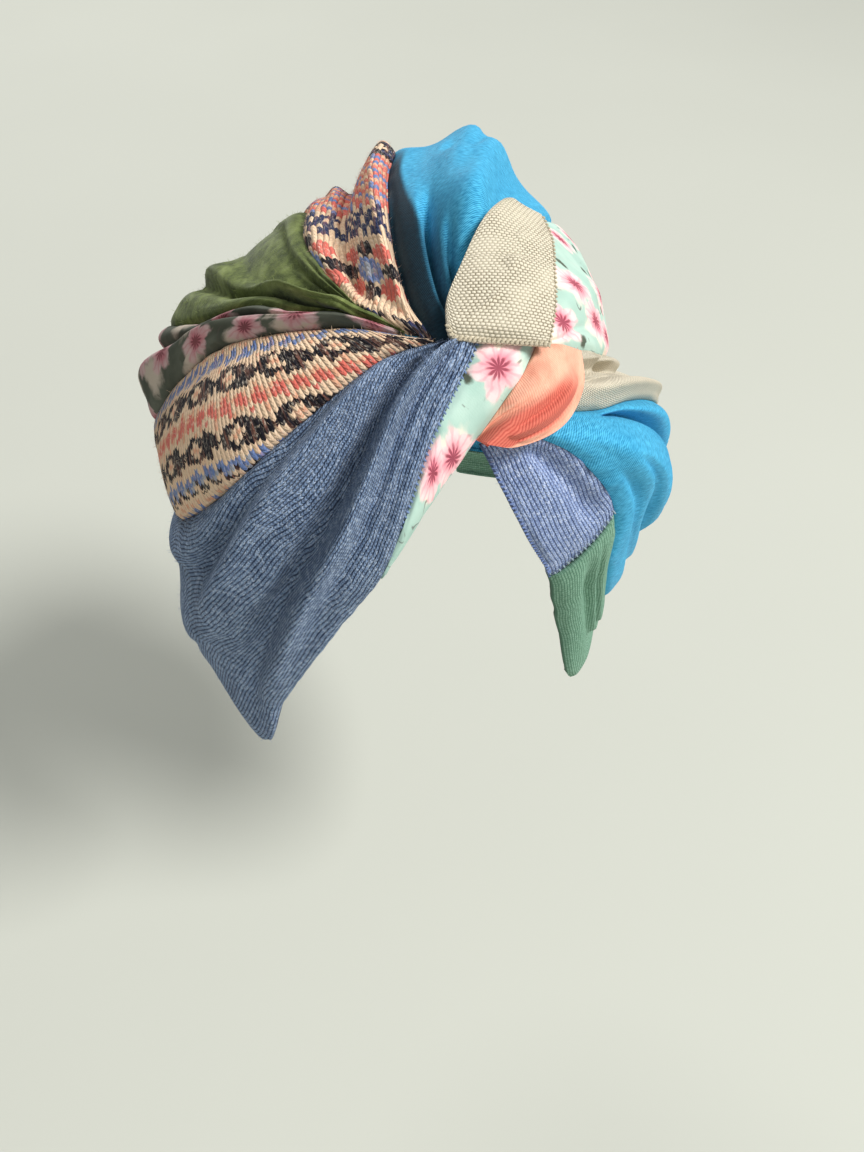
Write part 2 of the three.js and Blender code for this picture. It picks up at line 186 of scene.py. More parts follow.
# Strips between two seams. Columns of folds and creases: place across at the start and at the
# end, width (shares of the strip), depth (share of FOLD_DEPTH, - for a valley), first and last
# share of the length. wrinkle is the height of the small wrinkles in mm, with their length
# along and across the strip in mm. overlaps have a fold's columns: the cloth steps up over them,
# towards the strip's first seam. crossing runs across the strip: place along, width, depth, and
# the first and last place across. The knit's columns follow the seam that ruled_by tells. Up to
# crest, a share of the length, a chart's rows lie level, one above the other along rows_up.
WHOLE = ((0, 1), (0, 1))
STRIPS = {
    "left_wing_knit": dict(
        seams=("wing_hem", "wing_top"), span=((-0.03, 1), (-0.03, 1)), fullness=0.4,
        wrinkle=(0.45, 60, 11),
        folds=[
            (0.88, 0.86, 0.1, 0.6, 0.05, 0.9), (0.5, 0.5, 0.15, 0.6, 0.35, 0.85),
            (0.2, 0.12, 0.05, -0.2, 0.0, 0.3),
        ],
        creases=[(0.3, 0.5, 0.03, -0.15, 0.3, 0.8), (0.84, 0.8, 0.02, -0.15, 0.0, 0.3)],
        overlaps=[
            (0.8, -0.5, 0.09, 0.8, -0.03, 0.62), (1.2, 0.05, 0.09, 0.8, 0.12, 0.5),
            (0.5, -0.5, 0.06, 0.14, -0.02, 0.4),
        ],
        ruled_by="first",
    ),
    "left_wing_floral_strip": dict(
        seams=("strip_face", "wing_hem"), span=((-0.08, 1), (-0.03, 0.25)), fullness=0.12,
        wrinkle=(0.25, 30, 9), folds=[], creases=[],
    ),
    "left_fairisle_panel": dict(
        seams=("wing_top", "fairisle_top"), fullness=0.35, wrinkle=(0.3, 40, 16),
        folds=[(0.9, 0.85, 0.1, -0.25, 0.1, 0.5)], creases=[],
    ),
    "left_floral_roll": dict(
        seams=("fairisle_top", "roll_top"), fullness=0.4, wrinkle=(0.8, 34, 8),
        folds=[(0.5, 0.5, 0.22, 0.3, 0.35, 0.8), (0.75, 0.7, 0.1, -0.4, 0.25, 0.8)],
        creases=[(0.75, 0.7, 0.05, -0.2, 0.15, 0.8)],
    ),
    "green_roll": dict(
        seams=("roll_top", "green_top"), fullness=0.15, wrinkle=(1.1, 34, 8),
        folds=[
            (0.5, 0.3, 0.1, 0.6, 0.08, 0.45), (0.7, 0.6, 0.2, -0.8, 0.08, 0.95),
            (0.35, 0.15, 0.06, -0.4, 0.1, 0.5),
        ],
        creases=[
            (0.85, 0.8, 0.03, -0.5, 0.04, 0.6), (0.6, 0.45, 0.03, 0.3, 0.1, 0.45),
            (0.2, 0.4, 0.03, -0.4, 0.08, 0.5), (0.48, 0.62, 0.025, -0.45, 0.03, 0.5),
            (0.3, 0.28, 0.05, -0.5, 0.15, 0.75), (0.94, 0.92, 0.02, -0.3, 0.05, 0.5),
        ],
    ),
    "top_fairisle_fold": dict(
        seams=("green_top", "pleat"), fullness=0.08, wrinkle=(0.5, 40, 10),
        folds=[
            (0.86, 0.92, 0.14, 0.85, 0.03, 0.8), (0.14, 0.8, 0.13, -0.8, 0.12, 0.85),
            (0.08, 0.38, 0.09, -0.2, 0.3, 0.8),
        ],
        creases=[(0.3, 0.34, 0.04, -0.2, 0.2, 0.6)],
        crest=0.58, rows_up=(0.49, 0.56, 0.66),
    ),
    "blue_cap": dict(
        seams=("pleat", "cap_right"), fullness=0.3, wrinkle=(0.5, 46, 14),
        folds=[
            (0.15, 0.13, 0.09, 0.3, 0.0, 0.45), (0.31, 0.28, 0.05, -0.7, 0.0, 0.42),
            (0.6, 0.38, 0.17, 1.4, 0.25, 0.95), (0.45, 0.5, 0.08, -0.45, 0.38, 0.8),
        ],
        creases=[
            (0.03, 0.03, 0.03, -0.5, 0.0, 0.5), (0.2, 0.17, 0.03, 0.12, 0.0, 0.5),
            (0.3, 0.26, 0.02, -0.45, 0.0, 0.46), (0.42, 0.4, 0.03, -0.4, 0.0, 0.36),
            (0.36, 0.33, 0.03, 0.3, 0.02, 0.4),
        ],
        crossing=[(0.56, 0.03, -0.35, 0.3, 0.5), (0.64, 0.025, -0.4, 0.45, 0.62)],
    ),
    "right_floral_panel": dict(
        seams=("cap_right", "floral_right"), fullness=0.1, wrinkle=(0.45, 40, 14),
        folds=[(0.5, 0.5, 0.12, 0.2, 0.2, 0.5)], creases=[(0.8, 0.7, 0.04, -0.15, 0.0, 0.4)],
    ),
    "right_beige_panel": dict(
        seams=("floral_right", "beige_right"), fullness=0.25, wrinkle=(0.6, 30, 9),
        folds=[(0.34, 0.4, 0.15, -0.7, 0.05, 0.7), (0.65, 0.65, 0.14, 0.4, 0.05, 0.7)],
        creases=[(0.15, 0.2, 0.04, 0.25, 0.02, 0.4), (0.5, 0.52, 0.03, -0.35, 0.05, 0.5)],
        crossing=[(0.3, 0.03, -0.4, 0.05, 0.5)],
    ),
    "right_blue_wing": dict(
        seams=("beige_right", "wing_right"), fullness=0.55, wrinkle=(0.8, 36, 12),
        folds=[
            (0.06, 0.6, 0.07, -0.55, 0.12, 0.5), (0.1, 0.16, 0.07, 0.2, 0.2, 0.7),
            (0.6, 0.6, 0.2, 0.5, 0.1, 0.75), (0.72, 0.66, 0.08, -0.5, 0.35, 0.9),
        ],
        creases=[
            (0.1, 0.5, 0.035, -0.5, 0.1, 0.55), (0.84, 0.8, 0.04, -0.35, 0.25, 0.7),
            (0.6, 0.75, 0.03, -0.3, 0.25, 0.6),
        ],
    ),
    "right_inner_knit": dict(
        seams=("wing_right", "face_right"), span=((0, 0.375), (0, 0.375)), fullness=-0.05,
        wrinkle=(0.3, 30, 10), folds=[(0.25, 0.2, 0.16, -0.5, 0.05, 1)], creases=[],
    ),
    "right_green_jersey": dict(
        seams=("wing_right", "face_right"), span=((0.375, 1), (0.375, 1)), fullness=0.35,
        wrinkle=(0.5, 34, 12), folds=[(0.5, 0.5, 0.12, -0.4, 0.0, 0.7)],
        creases=[(0.3, 0.3, 0.04, -0.2, 0.0, 0.6)],
    ),
}
LAID = {
    "knot_loop": dict(
        seams=("strip_face", "loop_edge"), span=((-0.08, 0.333), (0, 1)), fullness=0.3,
        wrinkle=(0.2, 14, 5), folds=[(0.74, 0.5, 0.12, 0.2, 0.1, 0.95)],
        creases=[
            (0.57, -0.03, 0.05, -0.42, 0.05, 0.95), (0.9, 0.75, 0.03, -0.14, 0.1, 0.9),
            (0.4, 0.0, 0.04, -0.12, 0.1, 0.8), (0.74, 0.3, 0.03, -0.14, 0.2, 0.95),
        ],
    ),
    "beige_lapel": dict(
        seams=("lapel_left", "lapel_right"), fullness=0.1, wrinkle=(0.3, 26, 12),
        folds=[(0.5, 0.5, 0.14, 0.15, 0.3, 1)],
        creases=[
            (0.3, 0.5, 0.08, -0.1, 0.4, 1), (0.02, 1.5, 0.05, 0.22, 0.0, 0.35),
            (0.12, 1.7, 0.05, -0.26, 0.0, 0.35), (0.24, 1.8, 0.05, 0.15, 0.0, 0.35),
        ],
        crossing=[
            (0.585, 0.035, -0.3, 0.35, 0.95), (0.51, 0.06, 0.14, 0.2, 1.1), (0.68, 0.05, 0.1, 0.2, 1.1),
            (0.05, 0.03, 0.08, -0.1, 1.1),
        ],
    ),
}


def make_camera():
    turn = math.radians(CAMERA_AZIMUTH)
    tilt = math.radians(CAMERA_HEIGHT)
    back = Vector((
        math.sin(turn) * math.cos(tilt), -math.cos(turn) * math.cos(tilt), math.sin(tilt),
    ))
    data = bpy.data.cameras.new("photo_camera")
    data.sensor_fit = "VERTICAL"
    data.sensor_height = 36.0
    data.lens = data.sensor_height * FOCAL_PX / FRAME_HEIGHT_PX
    data.clip_start = 0.01
    camera = bpy.data.objects.new("photo_camera", data)
    camera.location = CAMERA_TARGET + back * CAMERA_DISTANCE
    camera.rotation_euler = back.to_track_quat("Z", "Y").to_euler()
    bpy.context.scene.collection.objects.link(camera)
    bpy.context.scene.camera = camera


make_camera()


# The hollow and the seams

def direction(bearing, height):
    b = np.radians(bearing)
    h = np.radians(height)
    return np.stack([np.sin(b) * np.cos(h), -np.cos(b) * np.cos(h), np.sin(h)], axis=-1)


def head_radius(way):
    tall = np.where(way[..., 2] > 0, HEAD_RISE, HEAD_DROP)
    x = way[..., 0] / (HEAD_WIDTH / 2)
    y = way[..., 1] / (HEAD_LENGTH / 2)
    return 1 / np.sqrt(x * x + y * y + (way[..., 2] / tall) ** 2)


def surface(ways, lifts):
    return HEAD_CENTRE + ways * (head_radius(ways) + lifts)[..., None]


def normalised(vectors):
    return vectors / np.linalg.norm(vectors, axis=-1, keepdims=True)


def smoothstep(x, low, high):
    t = np.clip((x - low) / (high - low), 0, 1)
    return t * t * (3 - 2 * t)


class Seam:
    """A smooth curve through its rows, as ways from the hollow's middle and lifts."""

    def __init__(self, rows):
        table = np.array(rows, dtype=float)
        ways = direction(table[:, 0], table[:, 1])
        first = 2 * ways[:1] - ways[1:2]
        last = 2 * ways[-1:] - ways[-2:-1]
        self.ways = np.vstack([first, ways, last])
        self.lifts = np.concatenate([table[:1, 2], table[:, 2], table[-1:, 2]])
        self.spans = len(rows) - 1

    def at(self, t):
        t = np.asarray(t, dtype=float)
        k = np.minimum((t * self.spans).astype(int), self.spans - 1)
        w = (t * self.spans - k)[:, None]
        p0, p1, p2, p3 = (self.ways[k + i] for i in range(4))
        pairs = ((p0, p1), (p1, p2), (p2, p3))
        d0, d1, d2 = (np.sqrt(np.linalg.norm(b - a, axis=1, keepdims=True)) for a, b in pairs)
        t1 = ((p1 - p0) / d0 - (p2 - p0) / (d0 + d1) + (p2 - p1) / d1) * d1
        t2 = ((p2 - p1) / d1 - (p3 - p1) / (d1 + d2) + (p3 - p2) / d2) * d1
        c2 = 3 * (p2 - p1) - 2 * t1 - t2
        c3 = 2 * (p1 - p2) + t1 + t2
        ways = p1 + w * (t1 + w * (c2 + w * c3))
        l0, l1, l2, l3 = (self.lifts[k + i] for i in range(4))
        w = w[:, 0]
        m1 = (l2 - l0) / 2
        m2 = (l3 - l1) / 2
        lifts = l1 + w * (m1 + w * ((3 * (l2 - l1) - 2 * m1 - m2) + w * (2 * (l1 - l2) + m1 + m2)))
        return normalised(ways), lifts


seams = {name: Seam(rows) for name, rows in SEAMS.items()}


class Ripple:
    """Smooth seeded noise over two coordinates, about -1 to 1."""

    SIZE = 64

    def __init__(self, seed):
        self.table = np.random.default_rng(seed).uniform(-1, 1, (self.SIZE, self.SIZE))

    def layer(self, x, y):
        i = np.floor(x).astype(int)
        j = np.floor(y).astype(int)
        fx = x - i
        fy = y - j
        fx = fx * fx * (3 - 2 * fx)
        fy = fy * fy * (3 - 2 * fy)
        n = self.SIZE
        a = self.table[i % n, j % n] * (1 - fx) + self.table[(i + 1) % n, j % n] * fx
        b = self.table[i % n, (j + 1) % n] * (1 - fx) + self.table[(i + 1) % n, (j + 1) % n] * fx
        return a * (1 - fy) + b * fy

    def __call__(self, x, y):
        return self.layer(x, y) + 0.45 * self.layer(2.1 * x + 17, 2.3 * y + 5)


# Cloth surfaces

def fade(t, first, last):
    run = 0.25 * (last - first)
    rise = smoothstep(t, first - 0.02, first + run)
    return rise * (1 - smoothstep(t, last - run, last + 0.02))


def bump(x):
    return np.exp(-x ** 2)


def step(x):
    """Up to 1 before the middle and down to -1 after it."""
    return -STEP_PEAK * x * bump(x)


def relief(strip, t, v):
    """Lift that a strip's fullness, folds, creases and overlaps add between its seams."""
    edge = np.sqrt(np.sin(np.pi * v))
    taper = smoothstep(t, -FULL_AT, FULL_AT) * (1 - GATHER_LOSS * smoothstep(t, GATHER_AT, 1))
    lift = strip["fullness"] * edge * taper
    shapes = [(bump, row) for row in strip["folds"] + strip["creases"]]
    shapes += [(step, row) for row in strip.get("overlaps", [])]
    for shape, (from_v, to_v, width, depth, first, last) in shapes:
        place = from_v + (to_v - from_v) * t
        lift = lift + depth * shape((v - place) / width) * fade(t, first, last) * edge
    for place, width, depth, first, last in strip.get("crossing", []):
        lift = lift + depth * bump((t - place) / width) * fade(v, first, last)
    return lift * FOLD_DEPTH


def wrinkles(strip, run, v, width):
    """Small seeded waves of the cloth, less its puckered dip at the seams."""
    height, long, wide = strip["wrinkle"]
    ripple = Ripple(len(strip["folds"]) * 7 + int(height * 100) + int(wide))
    waves = ripple(run / (long * MM), v * width.max() / (wide * MM))
    gap = np.minimum(v, 1 - v) * width
    pucker = 0.75 + 0.5 * ripple.layer(run / PUCKER_LENGTH, v * 2 + 9)
    return height * MM * waves * np.sqrt(np.sin(np.pi * v)) - SEAM_SINK * pucker * bump(gap / SEAM_REACH)


def run_along(points):
    """How far each point of a line lies along it."""
    return np.concatenate([[0], np.cumsum(np.linalg.norm(np.diff(points, axis=0), axis=1))])


def spread(strip, along, across):
    """Ways and lifts over a grid of a strip, seams' dips and wrinkles included."""
    t = np.linspace(0, 1, along)
    s = np.linspace(0, 1, across)
    v = (1 - SEAM_CROWDING) * s + SEAM_CROWDING * (1 - np.cos(np.pi * s)) / 2
    (a0, a1), (b0, b1) = strip.get("span", WHOLE)
    way_a, lift_a = seams[strip["seams"][0]].at(a0 + (a1 - a0) * t)
    way_b, lift_b = seams[strip["seams"][1]].at(b0 + (b1 - b0) * t)
    width = np.linalg.norm(way_b - way_a, axis=1) * head_radius(way_a) * WIDTH_OVER_HOLLOW
    inset = np.minimum(MOST_INSET, SEAM_SLIT / width)[:, None]
    w = inset + (1 - 2 * inset) * v
    ways = normalised(way_a[:, None] * (1 - w[..., None]) + way_b[:, None] * w[..., None])
    base = lift_a[:, None] * (1 - w) + lift_b[:, None] * w
    tt, vv = np.meshgrid(t, v, indexing="ij")
    lifts = base * WRAP_LIFT + relief(strip, tt, vv)
    run = run_along(surface(ways[:, across // 2], lifts[:, across // 2]))
    lifts = lifts + wrinkles(strip, run[:, None], vv, width[:, None])
    return ways, np.maximum(lifts, LEAST_LIFT)


def bilinear(coarse, along, across):
    """A coarse grid read at a finer one."""
    rows, columns = coarse.shape
    x = np.linspace(0, rows - 1, along)
    y = np.linspace(0, columns - 1, across)
    part = np.array([np.interp(y, range(columns), row) for row in coarse])
    return np.array([np.interp(x, range(rows), part[:, j]) for j in range(across)]).T


def lay_samples():
    ways = []
    lifts = []
    for strip in STRIPS.values():
        way, lift = spread(strip, *SAMPLE_POINTS)
        ways.append(way.reshape(-1, 3))
        lifts.append(lift.reshape(-1))
    return np.vstack(ways), np.concatenate(lifts)


SAMPLE_WAYS, SAMPLE_LIFTS = lay_samples()


def lift_under(ways):
    """The strips' lift under some ways: a mean over the surroundings that leans to the highest."""
    flat = ways.reshape(-1, 3)
    near = 2 - 2 * flat @ SAMPLE_WAYS.T
    weight = np.where(near < 6 * LAY_SPREAD ** 2, np.exp(-near / LAY_SPREAD ** 2), 0)
    mean = (weight @ SAMPLE_LIFTS ** TOP_BIAS) / np.maximum(weight.sum(axis=1), 1e-9)
    return (mean ** (1 / TOP_BIAS)).reshape(ways.shape[:-1])


def laid_under(ways):
    coarse = lift_under(ways[::COARSE_STEP, ::COARSE_STEP])
    return bilinear(coarse, *ways.shape[:2])


def inward(outer, ways):
    """The way through the cloth, which points straight at the hollow's middle along its edges."""
    du = np.gradient(outer, axis=0)
    dv = np.gradient(outer, axis=1)
    normal = normalised(np.cross(du, dv))
    normal = np.where((normal * ways).sum(axis=-1, keepdims=True) > 0, -normal, normal)
    mixed = normalised((1 - INWARD_LEAN) * normal - INWARD_LEAN * ways)
    mixed[0], mixed[-1], mixed[:, 0], mixed[:, -1] = -ways[0], -ways[-1], -ways[:, 0], -ways[:, -1]
    return mixed


def lay_flat(strip, outer):
    """Flat coordinates of a grid of cloth: how far along it, and how far from its ruling edge."""
    run = run_along(outer[:, outer.shape[1] // 2])
    steps = np.linalg.norm(np.diff(outer, axis=1), axis=2)
    from_first = np.concatenate([np.zeros((len(outer), 1)), np.cumsum(steps, axis=1)], axis=1)
    along = np.repeat(run[:, None], outer.shape[1], axis=1)
    if "crest" in strip:
        top = round(strip["crest"] * (len(outer) - 1))
        past = np.maximum(run - run[top], 0)[:, None]
        reach = (outer - outer[0, -1]) @ normalised(np.array(strip["rows_up"]))
        along = np.where(past > 0, reach[top] + past, reach)
    across = from_first if strip.get("ruled_by") == "first" else from_first[:, -1:] - from_first
    return np.stack([along, across], axis=-1)


def cloth_object(name, strip, ways, lifts, material):
    """A closed shell of cloth with its flat coordinates in the UV map, in metres."""
    outer = surface(ways, lifts)
    cloth = lay_flat(strip, outer)
    inner = outer + inward(outer, ways) * CLOTH
    along, across = lifts.shape
    index = np.arange(along * across).reshape(along, across)
    under = index + along * across
    a, b, c, d = index[:-1, :-1], index[1:, :-1], index[1:, 1:], index[:-1, 1:]
    top = np.stack([a, b, c, d], axis=-1).reshape(-1, 4)
    low = top[:, ::-1] + along * across
    rims = []
    for line, other in (
        (index[:, 0], under[:, 0]), (under[:, -1], index[:, -1]),
        (under[0], index[0]), (index[-1], under[-1]),
    ):
        rims.append(np.stack([line[:-1], other[:-1], other[1:], line[1:]], axis=-1))
    faces = np.vstack([top, low] + rims)
    points = np.vstack([outer.reshape(-1, 3), inner.reshape(-1, 3)])
    if signed_volume(points, faces) < 0:
        faces = faces[:, ::-1]
    mesh = bpy.data.meshes.new(name)
    mesh.from_pydata(points.tolist(), [], faces.tolist())
    flat = np.vstack([cloth.reshape(-1, 2), cloth.reshape(-1, 2)])
    layer = mesh.uv_layers.new(name="cloth")
    layer.data.foreach_set("uv", flat[faces.reshape(-1)].astype(np.float32).reshape(-1))
    mesh.polygons.foreach_set("use_smooth", [True] * len(mesh.polygons))
    mesh.materials.append(material)
    piece = bpy.data.objects.new(name, mesh)
    bpy.context.scene.collection.objects.link(piece)
    threads = stitch_seams(name, outer, ways)
    if name in FUZZY:
        threads.append(add_fuzz(name, piece))
    return piece, cloth, threads


def signed_volume(points, faces):
    a, b, c, d = (points[faces[:, k]] for k in range(4))
    return (np.cross(a, b) * c).sum() + (np.cross(a, c) * d).sum()


# Shader expressions

class Value:
    """A node's output that adds Math nodes when it is used in an expression."""

    def __init__(self, kit, socket):
        self.kit = kit
        self.socket = socket

    def math(self, operation, *others):
        sockets = {0: self}
        sockets.update({k + 1: other for k, other in enumerate(others)})
        return self.kit.node("ShaderNodeMath", {"operation": operation}, sockets)

    def __add__(self, other):
        return self.math("ADD", other)

    __radd__ = __add__

    def __sub__(self, other):
        return self.math("SUBTRACT", other)

    def __rsub__(self, other):
        return (self * -1.0).math("ADD", other)

    def __mul__(self, other):
        return self.math("MULTIPLY", other)

    __rmul__ = __mul__

    def __truediv__(self, other):
        return self.math("DIVIDE", other)

    def fract(self):
        return self.math("FRACT")

    def floor(self):
        return self.math("FLOOR")

    def abs(self):
        return self.math("ABSOLUTE")

    def below(self, other):
        return self.math("LESS_THAN", other)

    def above(self, other):
        return self.math("GREATER_THAN", other)

    def sine(self):
        return self.math("SINE")

    def hump(self):
        """A round hump over each whole step."""
        return (self.fract() * math.pi).sine()


class Tree:
    """A node tree and the ways to add its nodes."""

    def node(self, kind, settings=None, sockets=None, output=0):
        made = self.tree.nodes.new(kind)
        for name, value in (settings or {}).items():
            setattr(made, name, value)
        for key, value in (sockets or {}).items():
            if isinstance(value, Value):
                self.tree.links.new(value.socket, made.inputs[key])
            else:
                made.inputs[key].default_value = value
        return Value(self, made.outputs[output]) if made.outputs else None

    def vector(self, x, y, z=0.0):
        return self.node("ShaderNodeCombineXYZ", {}, {0: x, 1: y, 2: z})

    def parts(self, vector):
        """A vector's X and Y."""
        return [self.node("ShaderNodeSeparateXYZ", {}, {0: vector}, axis) for axis in ("X", "Y")]

    def vector_math(self, operation, first, second, output="Vector"):
        """Two vectors, or a vector and the number that scales it."""
        other = "Scale" if operation == "SCALE" else 1
        return self.node("ShaderNodeVectorMath", {"operation": operation}, {0: first, other: second}, output)

    def random(self, x, y):
        return self.node("ShaderNodeTexWhiteNoise", {"noise_dimensions": "2D"}, {"Vector": self.vector(x, y)})


class Kit(Tree):
    """One material."""

    def __init__(self, name):
        self.material = bpy.data.materials.new(name)
        self.material.use_nodes = True
        self.tree = self.material.node_tree
        self.tree.nodes.clear()

    def cloth(self):
        """The piece's flat coordinates, and how far along and across the cloth they lie."""
        uv = self.node("ShaderNodeUVMap", {"uv_map": "cloth"})
        return uv, *self.parts(uv)

    def shade_side(self):
        return self.node("ShaderNodeAttribute", {"attribute_name": "shade_side"}, output="Fac")

    def noise(self, vector, scale, detail=2.0, roughness=0.5):
        sockets = {"Vector": vector, "Scale": scale, "Detail": detail, "Roughness": roughness}
        return self.node("ShaderNodeTexNoise", {}, sockets)

    def mix(self, factor, first, second):
        settings = {"data_type": "RGBA", "clamp_factor": True}
        return self.node("ShaderNodeMix", settings, {0: factor, 6: first, 7: second}, output=2)

    def step_ramp(self, value, low, high):
        sockets = {"Value": value, "From Min": low, "From Max": high}
        return self.node("ShaderNodeMapRange", {"interpolation_type": "SMOOTHSTEP"}, sockets)

    def tint(self, tone, value, low, high, share, colour):
        """A tone that takes a share of a colour as a value goes from low to high."""
        return self.mix(self.step_ramp(value, low, high) * share, tone, colour)

    def finish(self, colour, height, strength=0.5, depth=0.4, sheen=0.06):
        """A matte cloth of a colour with a relief, depth in mm."""
        sockets = {"Strength": strength, "Distance": depth * MM, "Height": height}
        shader = self.node("ShaderNodeBsdfPrincipled", {}, {
            "Base Color": colour, "Roughness": 0.95, "Sheen Weight": sheen, "Sheen Roughness": 0.4,
            "Specular IOR Level": 0.15, "Normal": self.node("ShaderNodeBump", {}, sockets),
        })
        self.node("ShaderNodeOutputMaterial", {}, {"Surface": shader})
        return self.material


def rgb(red, green, blue):
    """A colour seen as 0 to 255, in linear light."""
    seen = [part / 255 for part in (red, green, blue)]
    return tuple(((c + 0.055) / 1.055) ** 2.4 if c > 0.04 else c / 12.92 for c in seen) + (1.0,)


def stitches(kit, along, across, wale, course):
    """Knit columns along the cloth: stitch cell, and the height of its two legs."""
    column = across / wale
    from_middle = (column.fract() - 0.5).abs() * 2.0
    row = along / course + from_middle * 0.55
    notch = 1.0 - kit.step_ramp(from_middle, 0.0, 0.3)
    height = (1.0 - from_middle * from_middle) * (row.hump() * 0.55 + 0.6) - notch * 0.2
    return column.floor(), row.floor(), height


def heather_knit(name, dark, light, fleck, wale, course):
    """Flecked yarns, wale and course in mm."""
    kit = Kit(name)
    _, along, across = kit.cloth()
    column, row, height = stitches(kit, along, across, wale * MM, course * MM)
    each = kit.random(column, row)
    fibre = kit.noise(kit.vector(along * 0.4, across), 2600.0, 2.0)
    patch = kit.noise(kit.vector(along * 0.3, across), 140.0, 3.0)
    tone = kit.mix(kit.step_ramp(height * 0.75 + fibre * 0.45 + each * 0.25, 0.35, 1.25), dark, light)
    tone = kit.tint(tone, fibre + each * 0.2, 0.62, 0.8, 0.65, fleck)
    tone = kit.tint(tone, patch, 0.45, 0.8, 0.3, dark)
    return kit.finish(tone, height + fibre * 0.35, strength=0.9, depth=0.6)


def jersey(name, dark, light, wale):
    kit = Kit(name)
    uv, along, across = kit.cloth()
    _, _, height = stitches(kit, along, across, wale * MM, wale * MM)
    fibre = kit.noise(uv, 900.0, 3.0)
    tone = kit.mix(kit.step_ramp(fibre * 0.6 + height * 0.4, 0.3, 0.9), dark, light)
    return kit.finish(tone, height + fibre * 0.3, strength=0.5, depth=0.25)


def twill_height(along, across, pitch):
    return ((along + across * 0.8) / pitch).hump()


def blue_twill(name, paints_pleat_shadow):
    kit = Kit(name)
    uv, along, across = kit.cloth()
    height = twill_height(along, across, 0.85 * MM)
    thread = kit.noise(kit.vector(along, across * 0.3), 1500.0, 2.0)
    soft = kit.noise(uv, 45.0, 3.0)
    raised = kit.step_ramp(thread * 0.7 + height * 0.3, 0.2, 0.9)
    tone = kit.mix(raised, rgb(24, 118, 164), rgb(98, 202, 240))
    tone = kit.tint(tone, soft, 0.4, 0.75, 0.3, rgb(30, 128, 174))
    if paints_pleat_shadow:
        # Painted shade: the shade_side mask turns the cap dark teal where its pleats and the cloth beside
        # them lie in shadow
        tone = kit.mix(kit.shade_side(), tone, kit.mix(raised, rgb(8, 28, 40), rgb(24, 56, 70)))
    return kit.finish(tone, height + thread * 0.5, strength=0.4, depth=0.25)


def coral_twill():
    kit = Kit("coral_twill")
    uv, along, across = kit.cloth()
    height = twill_height(along, across, 0.9 * MM)
    thread = kit.noise(kit.vector(along * 0.2, across), 1600.0, 2.0)
    cloud = kit.noise(uv, 140.0, 3.0)
    light = kit.mix(thread, rgb(236, 164, 136), rgb(252, 196, 168))
    deep = kit.mix(height * 0.6 + thread * 0.4, rgb(178, 66, 58), rgb(228, 128, 108))
    blush = kit.tint(light, cloud, 0.4, 0.7, 0.5, rgb(226, 126, 104))
    return kit.finish(kit.mix(kit.shade_side(), blush, deep), height + thread * 0.6, strength=0.4, depth=0.25)


def beige_weave(name, pitch=1.5, contrast=1.0):
    """Rows of short light bumps, each row half a bump on from the last."""
    kit = Kit(name)
    uv, along, across = kit.cloth()
    wave = kit.noise(uv, 90.0, 2.0) * (0.9 * MM)
    level = (along + wave) / (pitch * 0.68 * MM)
    place = (across + wave) / (pitch * MM) + level.floor() * 0.5
    raised = place.hump() * level.hump()
    each = kit.random(place.floor(), level.floor())
    fibre = kit.noise(uv, 1400.0, 2.0)
    cloud = kit.noise(uv, 70.0, 3.0)
    shade = kit.mix(kit.step_ramp(cloud, 0.35, 0.7), rgb(134, 124, 102), rgb(186, 176, 152))
    gap = (1.0 - kit.step_ramp(raised + each * 0.15, 0.12, 0.6)) * contrast
    tone = kit.mix(gap, rgb(222, 212, 190), shade)
    tone = kit.tint(tone, fibre, 0.5, 0.8, 0.3, rgb(236, 228, 208))
    return kit.finish(tone, raised + fibre * 0.25, strength=0.7, depth=0.45)


def olive_cloth():
    kit = Kit("olive_cloth")
    uv, along, across = kit.cloth()
    pile = kit.noise(uv, 260.0, 5.0, 0.65)
    cloud = kit.noise(kit.vector(along, across * 2.5), 60.0, 4.0)
    fine = kit.noise(uv, 1500.0, 2.0)
    tone = kit.mix(kit.step_ramp(pile * 0.6 + cloud * 0.5, 0.35, 0.75), rgb(58, 68, 34), rgb(112, 124, 68))
    tone = kit.tint(tone, cloud, 0.5, 0.8, 0.4, rgb(158, 168, 112))
    return kit.finish(tone, pile + fine * 0.5, strength=0.7, depth=0.5, sheen=0.12)


def blossom(kit, uv, cell, size, petals, shift):
    """Scattered blossoms: how far out a point is along the petals, in all, and its turn."""
    moved = kit.vector_math("ADD", uv, (shift[0] * MM, shift[1] * MM, 0))
    settings = {"voronoi_dimensions": "2D", "feature": "F1"}
    sockets = {"Vector": moved, "Scale": 1 / cell, "Randomness": 0.7}
    place = kit.node("ShaderNodeTexVoronoi", settings, sockets, "Position")
    x, y = kit.parts(kit.vector_math("SUBTRACT", moved, place))
    radius = (x * x + y * y).math("SQRT") / size
    turn = kit.node("ShaderNodeTexWhiteNoise", {"noise_dimensions": "2D"}, {"Vector": place}) * 6.28
    angle = y.math("ARCTAN2", x) + turn
    lobes = (angle * (petals / 2)).sine().abs()
    return radius / (lobes * 0.4 + 0.66), radius, angle


